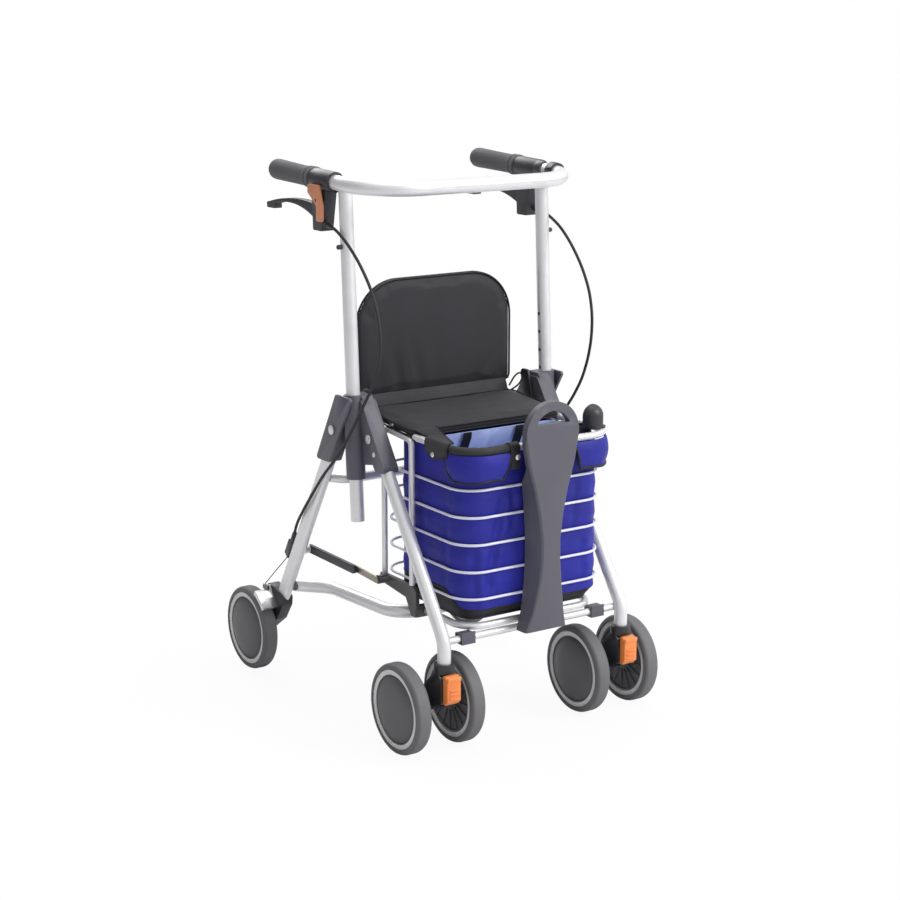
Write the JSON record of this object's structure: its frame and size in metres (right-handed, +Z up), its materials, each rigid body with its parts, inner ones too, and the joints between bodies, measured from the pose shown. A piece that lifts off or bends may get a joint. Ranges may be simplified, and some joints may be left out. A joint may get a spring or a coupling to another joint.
{
  "type": "rollator",
  "caption": "Folding walking aid with paired front casters, U handle with brakes, seat with backrest, ringed basket with bag, and a front carrying handle.",
  "frame": {"origin": "on the floor under the middle of the whole part", "axes": "+Z up, -Y towards the front, +X towards the user's left hand"},
  "size_m": [0.5, 0.6704, 0.9218],
  "materials": {
    "frame_tube": "silver satin tube",
    "bracket_plastic": "grey moulded plastic with a fine grain",
    "black_plastic": "black moulded plastic",
    "orange_plastic": "orange moulded plastic",
    "tyre_rubber": "grey solid tyre",
    "grip_rubber": "soft dark grey grip",
    "steel": "plated steel",
    "ring_wire": "pale coated wire",
    "bag_fabric": "blue woven nylon, black at the bottom, pale blue inside",
    "pad_fabric": "black woven nylon",
    "cable_sleeve": "black cable sleeve"
  },
  "bodies": {
    "front_frame": {"front_legs": "frame_tube", "front_cross_tube": "frame_tube", "basket_clips": "bracket_plastic", "hub_bracket_right": "bracket_plastic", "hub_bracket_left": "bracket_plastic", "hub_bolts": "steel"},
    "handle": {"uprights": "frame_tube", "handlebar": "frame_tube", "grips": "grip_rubber", "brake_housings": "black_plastic", "cane_clip": "black_plastic", "upper_cables": "cable_sleeve"},
    "rear_frame": {"rear_legs": "frame_tube", "rear_brackets": "bracket_plastic", "rear_cross_tube": "frame_tube", "rear_bow": "frame_tube", "brake_mounts": "black_plastic", "rear_axles": "steel", "cable_stops": "black_plastic", "lower_cables": "cable_sleeve"},
    "basket": {"side_hoops": "frame_tube", "lower_brackets": "black_plastic", "basket_bottom_tube": "frame_tube", "basket_rings": "ring_wire", "basket_rim": "black_plastic", "bag": "bag_fabric", "seat_pad": "pad_fabric", "front_panel": "bracket_plastic", "cane_cup": "black_plastic"},
    "backrest": {"backrest_pad": "pad_fabric"},
    "brace_bars": {"brace_bar_right": "black_plastic", "brace_bar_left": "black_plastic"},
    "brace_strips": {"brace_strip_right": "steel", "brace_strip_left": "steel"},
    "caster_right": {"caster_yoke_right": "black_plastic", "caster_axle_right": "steel"},
    "swivel_lock_right": {"swivel_lock_right": "orange_plastic"},
    "brake_lever_right": {"brake_lever_right": "black_plastic"},
    "parking_lock_right": {"parking_lock_right": "orange_plastic"},
    "height_knob_right": {"height_knob_right": "black_plastic"},
    "brake_shoe_right": {"brake_shoe_right": "steel"},
    "caster_left": {"caster_yoke_left": "black_plastic", "caster_axle_left": "steel"},
    "swivel_lock_left": {"swivel_lock_left": "orange_plastic"},
    "brake_lever_left": {"brake_lever_left": "black_plastic"},
    "parking_lock_left": {"parking_lock_left": "orange_plastic"},
    "height_knob_left": {"height_knob_left": "black_plastic"},
    "brake_shoe_left": {"brake_shoe_left": "steel"},
    "wheel_front_right_outer": {"tyre_front_right_outer": "tyre_rubber", "rim_front_right_outer": "bracket_plastic"},
    "wheel_front_right_inner": {"tyre_front_right_inner": "tyre_rubber", "rim_front_right_inner": "bracket_plastic"},
    "wheel_front_left_inner": {"tyre_front_left_inner": "tyre_rubber", "rim_front_left_inner": "bracket_plastic"},
    "wheel_front_left_outer": {"tyre_front_left_outer": "tyre_rubber", "rim_front_left_outer": "bracket_plastic"},
    "wheel_rear_right": {"tyre_rear_right": "tyre_rubber", "rim_rear_right": "bracket_plastic"},
    "wheel_rear_left": {"tyre_rear_left": "tyre_rubber", "rim_rear_left": "bracket_plastic"}
  },
  "joints": [
    {"name": "handle_height", "type": "slide", "parent": "front_frame", "child": "handle", "axis": [0, 0.0511, 0.9987], "range_m": [-0.135, 0], "deforming": ["upper_cables"]},
    {"name": "rear_fold", "type": "hinge", "parent": "front_frame", "child": "rear_frame", "pos_m": [0, -0.01125, 0.489], "axis": [-1, 0, 0], "range_deg": [0, 24], "deforming": ["lower_cables"]},
    {"name": "basket_lift", "type": "slide", "parent": "front_frame", "child": "basket", "axis": [0, 0, 1], "range_m": [0, 0.1]},
    {"name": "brace_root", "type": "hinge", "parent": "rear_frame", "child": "brace_bars", "pos_m": [0, 0.13451, 0.244], "axis": [-1, 0, 0], "range_deg": [0, 53]},
    {"name": "brace_knee", "type": "hinge", "parent": "brace_bars", "child": "brace_strips", "pos_m": [0, -0.01325, 0.243], "axis": [1, 0, 0], "range_deg": [0, 82]},
    {"name": "backrest_fold", "type": "hinge", "parent": "basket", "child": "backrest", "pos_m": [0, -0.00325, 0.518], "axis": [1, 0, 0], "range_deg": [0, 88]},
    {"name": "caster_swivel_right", "type": "hinge", "parent": "front_frame", "child": "caster_right", "pos_m": [-0.178, -0.29125, 0.171], "axis": [0, 0, 1], "continuous": true},
    {"name": "swivel_lock_slide_right", "type": "slide", "parent": "caster_right", "child": "swivel_lock_right", "axis": [0, 0, -1], "range_m": [0, 0.008]},
    {"name": "brake_squeeze_right", "type": "hinge", "parent": "handle", "child": "brake_lever_right", "pos_m": [-0.205, 0.03775, 0.8465], "axis": [1, 0, 0], "range_deg": [0, 8], "stiffness_Nm_per_rad": 4, "springref_deg": -8.59},
    {"name": "parking_lock_turn_right", "type": "hinge", "parent": "handle", "child": "parking_lock_right", "pos_m": [-0.225, 0.01375, 0.868], "axis": [1, 0, 0], "range_deg": [0, 20]},
    {"name": "height_knob_pull_right", "type": "slide", "parent": "front_frame", "child": "height_knob_right", "axis": [1, 0, 0], "range_m": [0, 0.003], "stiffness_N_per_m": 800, "springref_m": -0.004},
    {"name": "brake_press_right", "type": "hinge", "parent": "rear_frame", "child": "brake_shoe_right", "pos_m": [-0.215, 0.22375, 0.155], "axis": [1, 0, 0], "range_deg": [0, 2.4]},
    {"name": "caster_swivel_left", "type": "hinge", "parent": "front_frame", "child": "caster_left", "pos_m": [0.178, -0.29125, 0.171], "axis": [0, 0, 1], "continuous": true},
    {"name": "swivel_lock_slide_left", "type": "slide", "parent": "caster_left", "child": "swivel_lock_left", "axis": [0, 0, -1], "range_m": [0, 0.008]},
    {"name": "brake_squeeze_left", "type": "hinge", "parent": "handle", "child": "brake_lever_left", "pos_m": [0.205, 0.03775, 0.8465], "axis": [1, 0, 0], "range_deg": [0, 8], "stiffness_Nm_per_rad": 4, "springref_deg": -8.59},
    {"name": "parking_lock_turn_left", "type": "hinge", "parent": "handle", "child": "parking_lock_left", "pos_m": [0.225, 0.01375, 0.868], "axis": [1, 0, 0], "range_deg": [0, 20]},
    {"name": "height_knob_pull_left", "type": "slide", "parent": "front_frame", "child": "height_knob_left", "axis": [-1, 0, 0], "range_m": [0, 0.003], "stiffness_N_per_m": 800, "springref_m": -0.004},
    {"name": "brake_press_left", "type": "hinge", "parent": "rear_frame", "child": "brake_shoe_left", "pos_m": [0.215, 0.22375, 0.155], "axis": [1, 0, 0], "range_deg": [0, 2.4]},
    {"name": "roll_front_right_outer", "type": "hinge", "parent": "caster_right", "child": "wheel_front_right_outer", "pos_m": [-0.2295, -0.24275, 0.075], "axis": [1, 0, 0], "continuous": true},
    {"name": "roll_front_right_inner", "type": "hinge", "parent": "caster_right", "child": "wheel_front_right_inner", "pos_m": [-0.1265, -0.24275, 0.075], "axis": [1, 0, 0], "continuous": true},
    {"name": "roll_front_left_inner", "type": "hinge", "parent": "caster_left", "child": "wheel_front_left_inner", "pos_m": [0.1265, -0.24275, 0.075], "axis": [1, 0, 0], "continuous": true},
    {"name": "roll_front_left_outer", "type": "hinge", "parent": "caster_left", "child": "wheel_front_left_outer", "pos_m": [0.2295, -0.24275, 0.075], "axis": [1, 0, 0], "continuous": true},
    {"name": "roll_rear_right", "type": "hinge", "parent": "rear_frame", "child": "wheel_rear_right", "pos_m": [-0.2315, 0.26025, 0.075], "axis": [1, 0, 0], "continuous": true},
    {"name": "roll_rear_left", "type": "hinge", "parent": "rear_frame", "child": "wheel_rear_left", "pos_m": [0.2315, 0.26025, 0.075], "axis": [1, 0, 0], "continuous": true}
  ],
  "couplings": [
    {"joint": "basket_lift", "follows": "rear_fold", "m_per_rad": 0.23873},
    {"joint": "brace_root", "follows": "rear_fold", "ratio": 2.1772},
    {"joint": "brace_knee", "follows": "rear_fold", "ratio": 3.4018},
    {"joint": "brake_press_right", "follows": "brake_squeeze_right", "ratio": 0.3},
    {"joint": "brake_press_left", "follows": "brake_squeeze_left", "ratio": 0.3}
  ]
}
